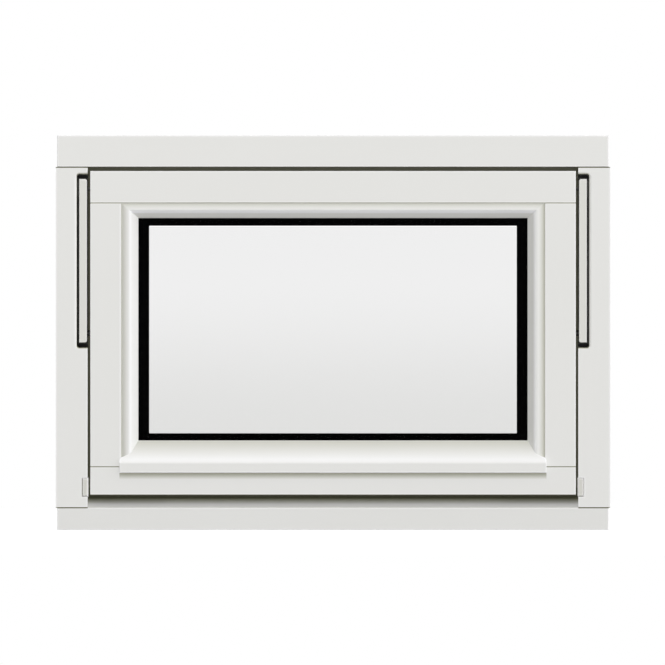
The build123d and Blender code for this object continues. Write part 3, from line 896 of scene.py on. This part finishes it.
class WINDOW_OT_finish_handle(bpy.types.Operator):
    """Finish the handle on the room side and the lock strip that it moves"""

    bl_idname = "window.finish_handle"
    bl_label = "Finish Handle"

    def execute(self, context):
        paint = context.scene.window_paint
        hardware = context.scene.window_hardware
        coat = sprayed_coat("handle_coat", paint.handle_colour, roughness=0.28)
        steel = bare_metal("plated_steel", hardware.steel_colour, roughness=0.32)
        finish_nodes(["handle_plate", "handle_lever"], coat)
        finish_nodes(["lock_strip"], steel)
        return {"FINISHED"}


def lone_mesh(name):
    """Name the new primitive and leave it in edit mode with none of its faces selected."""
    made = bpy.context.active_object
    made.name = name
    made.data.name = name
    bpy.ops.object.mode_set(mode="EDIT")
    bpy.ops.mesh.select_all(action="DESELECT")
    return made


def select_faces(made, test):
    """Select only the faces whose centre and normal pass the test."""
    shape = bmesh.from_edit_mesh(made.data)
    bpy.ops.mesh.select_mode(type="FACE")
    bpy.ops.mesh.select_all(action="DESELECT")
    for face in shape.faces:
        face.select_set(test(face.calc_center_median(), face.normal))
    bmesh.update_edit_mesh(made.data)


def model_disc(name, diameter, rise, vertices, rounding, segments):
    """Round fastener at the origin: it stands up +Z from its seat, with a rounded edge.

    It is left in edit mode with its flat top selected.
    """
    bpy.ops.object.select_all(action="DESELECT")
    bpy.ops.mesh.primitive_cylinder_add(
        vertices=vertices, radius=diameter / 2, depth=rise, location=(0, 0, rise / 2)
    )
    disc = lone_mesh(name)
    select_faces(disc, lambda centre, normal: normal.z > 0.9)
    bpy.ops.mesh.bevel(offset=rounding, segments=segments, affect="EDGES")
    select_faces(disc, lambda centre, normal: normal.z > 0.99)
    return disc


def close_mesh():
    """Leave edit mode and smooth the rounded edges."""
    bpy.ops.object.mode_set(mode="OBJECT")
    bpy.ops.object.shade_smooth_by_angle(angle=math.radians(40))


def model_screw(diameter, rise):
    """Round-headed screw with a socket in its head."""
    rim = diameter * 0.16
    socket_wall = diameter * 0.04
    socket_depth = rise * 0.6
    screw = model_disc("screw", diameter, rise, vertices=32, rounding=rise * 0.7, segments=3)
    bpy.ops.mesh.inset(thickness=rim)
    select_faces(screw, lambda centre, normal: normal.z > 0.99 and centre.length < rise * 1.2)
    bpy.ops.mesh.inset(thickness=socket_wall, depth=-socket_depth)
    close_mesh()
    return screw


def model_cap(diameter, rise):
    """Shallow round cap with a soft edge and a small dished middle."""
    rim = diameter * 0.2
    dish_wall = diameter * 0.05
    dish_depth = rise * 0.2
    cap = model_disc("cap", diameter, rise, vertices=48, rounding=rise * 0.5, segments=4)
    bpy.ops.mesh.inset(thickness=rim)
    bpy.ops.mesh.inset(thickness=dish_wall, depth=-dish_depth)
    close_mesh()
    return cap


def place_copies(pattern, name, places, outward, material):
    """Copy a fastener to each place with its +Z turned outward, each copy with its own mesh."""
    turn = outward.to_track_quat("Z", "Y").to_matrix().to_4x4()
    for number, place in enumerate(places, 1):
        mesh = pattern.data.copy()
        mesh.transform(Matrix.Translation(place) @ turn)
        mesh.materials.clear()
        mesh.materials.append(material)
        piece = bpy.data.objects.new(f"{name}_{number}", mesh)
        mesh.name = piece.name
        bpy.context.scene.collection.objects.link(piece)
        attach(piece, "root")


class WINDOW_OT_add_screws(bpy.types.Operator):
    """Add the two screws of the handle plate"""

    bl_idname = "window.add_screws"
    bl_label = "Add Screws"

    def execute(self, context):
        hardware = context.scene.window_hardware
        steel = bpy.data.materials["plated_steel"]
        screw = model_screw(hardware.screw_head, hardware.screw_rise)
        low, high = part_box("handle_plate")
        middle = (low + high) / 2
        half_spacing = (high.x - low.x) * 0.36
        places = [Vector((middle.x + side * half_spacing, high.y, middle.z)) for side in (-1, 1)]
        place_copies(screw, "handle_screw", places, Vector((0, 1, 0)), steel)
        bpy.data.objects.remove(screw)
        return {"FINISHED"}


class WINDOW_OT_add_caps(bpy.types.Operator):
    """Add the caps over the frame screws on the inner faces of the jambs"""

    bl_idname = "window.add_caps"
    bl_label = "Add Caps"

    def execute(self, context):
        hardware = context.scene.window_hardware
        colour = context.scene.window_paint.frame_colour
        plastic = sprayed_coat("cap_plastic", colour, roughness=0.35)
        cap = model_cap(hardware.cap_diameter, hardware.cap_rise)
        screws = [m for m in frame["record"]["mounts"] if m["name"].startswith("jamb_screws")]
        for mount in screws:
            x, y, z = mount["pos_m"]
            hand = "right" if x > 0 else "left"
            low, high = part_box(f"frame_jamb_{hand}")
            face = low.x if x > 0 else high.x
            half_spacing = mount["dims"]["spacing_y_mm"] * MM / 2
            places = [Vector((face, y, z + side * half_spacing)) for side in (-1, 1)]
            inward = Vector((-math.copysign(1, x), 0, 0))
            place_copies(cap, f"screw_cap_{hand}", places, inward, plastic)
        bpy.data.objects.remove(cap)
        return {"FINISHED"}


# Stage


def seen_ray(tree):
    """1 on camera, glossy and transmission rays."""
    path = add_node(tree, "ShaderNodeLightPath").outputs
    mirrored = arithmetic(tree, "MAXIMUM", path["Is Camera Ray"], path["Is Glossy Ray"])
    return arithmetic(tree, "MAXIMUM", mirrored, path["Is Transmission Ray"])


def set_world(stage):
    """White where it is seen, and a soft light that leans to the key side where it shines.

    Less comes from straight above, and a mirrored ceiling is darker too.
    """
    world = bpy.data.worlds.new("soft_surround")
    bpy.context.scene.world = world
    world.use_nodes = True
    tree = world.node_tree
    tree.nodes.clear()
    direction = add_node(tree, "ShaderNodeTexCoord").outputs["Generated"]
    upward = add_node(tree, "ShaderNodeSeparateXYZ", {0: direction}).outputs["Z"]
    height = arithmetic(tree, "MAXIMUM", upward, 0.0)

    towards = vectors(tree, "DOT_PRODUCT", direction, KEY_DIRECTION)
    level = add_share(tree, towards, stage.lean, stage.surround)
    overhead = arithmetic(tree, "MULTIPLY", arithmetic(tree, "MULTIPLY", height, height), stage.ceiling)
    lit = arithmetic(tree, "MULTIPLY", level, arithmetic(tree, "SUBTRACT", 1.0, overhead))
    shone = add_node(
        tree, "ShaderNodeBackground", {"Color": (*stage.surround_colour, 1), "Strength": lit}
    )

    mirrored = add_node(tree, "ShaderNodeLightPath").outputs["Is Glossy Ray"]
    dulled = arithmetic(tree, "MULTIPLY", arithmetic(tree, "MULTIPLY", mirrored, height), stage.ceiling)
    white = arithmetic(tree, "SUBTRACT", 1.0, dulled)
    seen = add_node(tree, "ShaderNodeBackground", {"Color": (1, 1, 1, 1), "Strength": white})

    blend = add_node(
        tree, "ShaderNodeMixShader", {0: seen_ray(tree), 1: shone.outputs[0], 2: seen.outputs[0]}
    )
    add_node(tree, "ShaderNodeOutputWorld", {"Surface": blend.outputs[0]})


def floor_material(stage):
    """Pale floor that shows white and keeps the window's shadow."""
    made = bpy.data.materials.new("pale_floor")
    made.use_nodes = True
    tree = made.node_tree
    tree.nodes.clear()
    bounced = add_node(tree, "ShaderNodeEmission", {"Strength": stage.floor_bounce})
    matt = add_node(tree, "ShaderNodeBsdfDiffuse", {"Color": (*stage.floor_colour, 1)})
    glow = add_node(tree, "ShaderNodeEmission", {"Strength": stage.floor_glow})
    lit = add_node(tree, "ShaderNodeAddShader", {0: matt.outputs[0], 1: glow.outputs[0]})
    blend = add_node(
        tree, "ShaderNodeMixShader", {0: seen_ray(tree), 1: bounced.outputs[0], 2: lit.outputs[0]}
    )
    add_node(tree, "ShaderNodeOutputMaterial", {"Surface": blend.outputs[0]})
    return made


def add_floor(stage):
    """Square floor under the window."""
    bpy.ops.object.select_all(action="DESELECT")
    bpy.ops.mesh.primitive_plane_add(size=stage.floor_size, location=(0, 0, 0))
    floor = bpy.context.active_object
    floor.name = "floor"
    floor.data.materials.append(floor_material(stage))


def add_sun(name, towards, strength, width, colour=(1, 1, 1)):
    """A wide soft sun that shines from this direction."""
    lamp = bpy.data.lights.new(name, "SUN")
    lamp.energy = strength
    lamp.color = colour
    lamp.angle = width
    sun = bpy.data.objects.new(name, lamp)
    sun.location = towards * 3
    sun.rotation_euler = (-towards).to_track_quat("-Z", "Y").to_euler()
    bpy.context.scene.collection.objects.link(sun)
    return sun


def add_lights(stage):
    """A key light that only shades, and a light that only makes soft highlights."""
    key = add_sun("key", KEY_DIRECTION, stage.key_strength, stage.light_width, stage.key_colour)
    key.data.use_shadow = False
    key.visible_glossy = False
    highlight = add_sun(
        "highlight", HIGHLIGHT_DIRECTION, stage.highlight_strength, stage.light_width
    )
    highlight.visible_diffuse = False


def add_camera(stage):
    """Camera far in front of the window, square to it."""
    lens = bpy.data.cameras.new("camera")
    lens.lens = stage.lens
    lens.sensor_width = SENSOR_WIDTH
    distance = stage.picture_width * stage.lens / SENSOR_WIDTH
    lens.clip_start = 1.0
    lens.clip_end = distance * 3
    camera = bpy.data.objects.new("camera", lens)
    front = cad_box[0].y
    camera.location = (stage.picture_shift, front - distance, stage.picture_centre)
    camera.rotation_euler = (math.radians(90), 0, 0)
    bpy.context.scene.collection.objects.link(camera)
    bpy.context.scene.camera = camera


class WINDOW_OT_set_stage(bpy.types.Operator):
    """Add the floor, the soft light and the camera"""

    bl_idname = "window.set_stage"
    bl_label = "Set Stage"

    def execute(self, context):
        stage = context.scene.window_stage
        set_world(stage)
        add_floor(stage)
        add_lights(stage)
        add_camera(stage)
        context.scene.view_settings.view_transform = "Standard"
        return {"FINISHED"}


STEPS = (
    WINDOW_OT_paint_frame,
    WINDOW_OT_paint_sash,
    WINDOW_OT_paint_beads,
    WINDOW_OT_glaze,
    WINDOW_OT_finish_hinges,
    WINDOW_OT_finish_handle,
    WINDOW_OT_add_screws,
    WINDOW_OT_add_caps,
    WINDOW_OT_set_stage,
)


class WINDOW_PT_finish(bpy.types.Panel):
    """Settings and steps of the window's finish"""

    bl_idname = "WINDOW_PT_finish"
    bl_label = "Pivot Window"
    bl_space_type = "VIEW_3D"
    bl_region_type = "UI"
    bl_category = "Window"

    def draw(self, context):
        for attribute, group in SETTINGS.items():
            box = self.layout.box()
            for setting in group.__annotations__:
                box.prop(getattr(context.scene, attribute), setting)
        for step in STEPS:
            self.layout.operator(step.bl_idname)


CLASSES = (*SETTINGS.values(), *STEPS, WINDOW_PT_finish)


def register():
    """Register the classes and hang the settings on the scene."""
    for made in CLASSES:
        bpy.utils.register_class(made)
    for attribute, group in SETTINGS.items():
        setattr(bpy.types.Scene, attribute, PointerProperty(type=group))


def unregister():
    """Take the settings off the scene and unregister the classes."""
    for attribute in SETTINGS:
        delattr(bpy.types.Scene, attribute)
    for made in reversed(CLASSES):
        bpy.utils.unregister_class(made)


def main():
    """Finish the window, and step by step."""
    register()
    bpy.ops.window.paint_frame()
    bpy.ops.window.paint_sash()
    bpy.ops.window.paint_beads()
    bpy.ops.window.glaze()
    bpy.ops.window.finish_hinges()
    bpy.ops.window.finish_handle()
    bpy.ops.window.add_screws()
    bpy.ops.window.add_caps()
    bpy.ops.window.set_stage()


if __name__ == "__main__":
    main()
